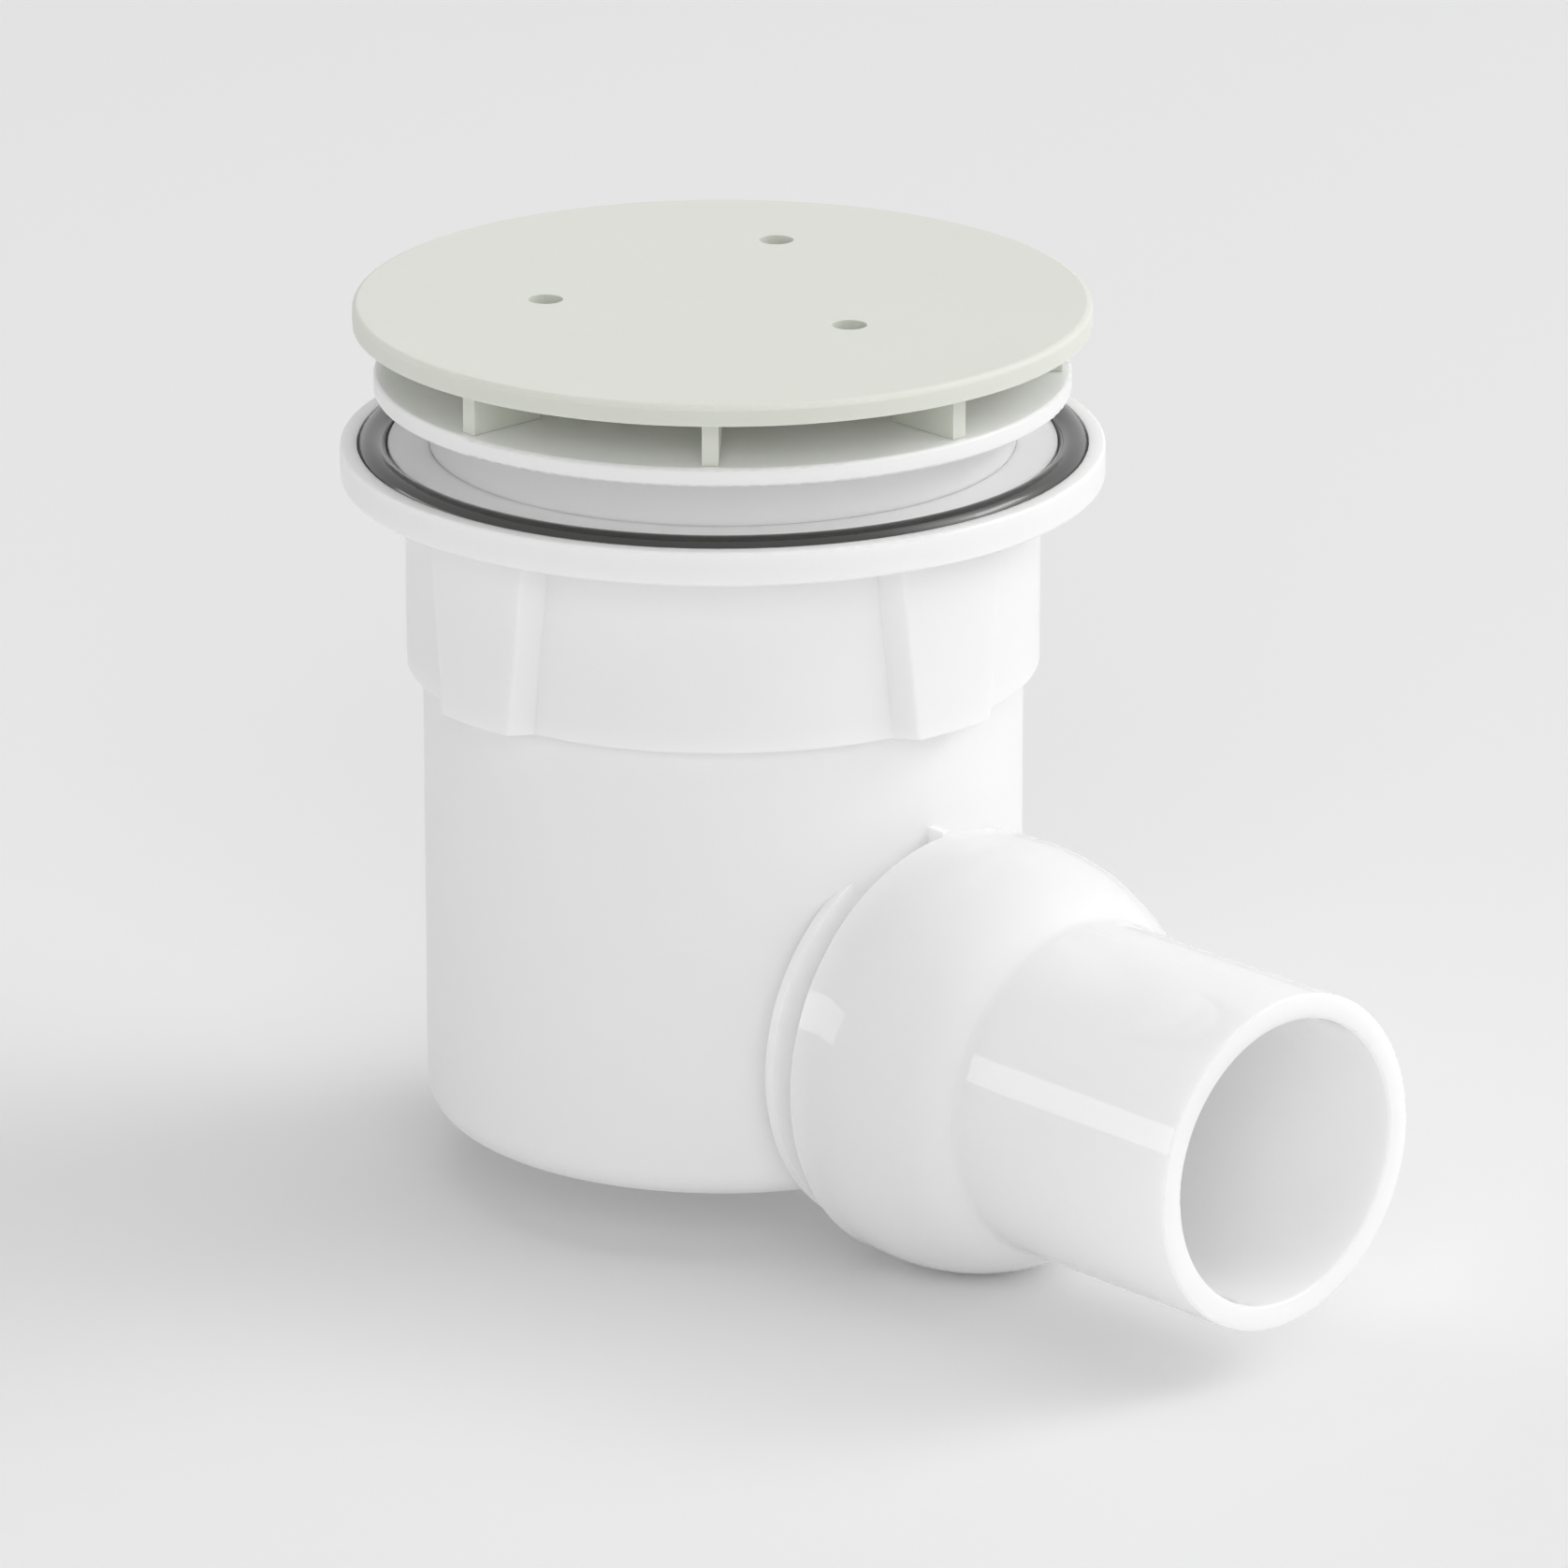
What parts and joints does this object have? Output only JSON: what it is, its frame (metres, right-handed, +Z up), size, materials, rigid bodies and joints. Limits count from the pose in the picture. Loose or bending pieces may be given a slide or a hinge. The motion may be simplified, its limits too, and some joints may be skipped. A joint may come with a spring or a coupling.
{
  "type": "shower trap",
  "caption": "Shower drain trap: lift-off cover over a screwed clamping flange, sealed tray flange with a lugged collar, pot with a water-seal insert, and a ball-jointed spigot outlet.",
  "frame": {"origin": "on the main axis, in the flange face that seats under the shower tray", "axes": "+Z up along the main axis towards the cover, +X along the outlet pipe"},
  "size_m": [0.1743, 0.1131, 0.1359],
  "materials": {
    "cover_plastic": "satin",
    "white_plastic": "satin",
    "gloss_white_plastic": "gloss",
    "black_rubber": "matte"
  },
  "bodies": {
    "trap": {"cover": "cover_plastic", "upper_flange": "white_plastic", "trap_body": "white_plastic", "dip_tube": "white_plastic", "siphon_cup": "white_plastic", "tray_seal": "black_rubber", "rim_seal": "black_rubber", "ball_seal": "black_rubber"},
    "outlet": {"swivel_outlet": "gloss_white_plastic"}
  },
  "joints": [
    {"name": "outlet_swivel", "type": "hinge", "parent": "trap", "child": "outlet", "pos_m": [0.05507, 0, -0.08187], "axis": [0, 0, 1], "range_deg": [-10, 10]}
  ]
}
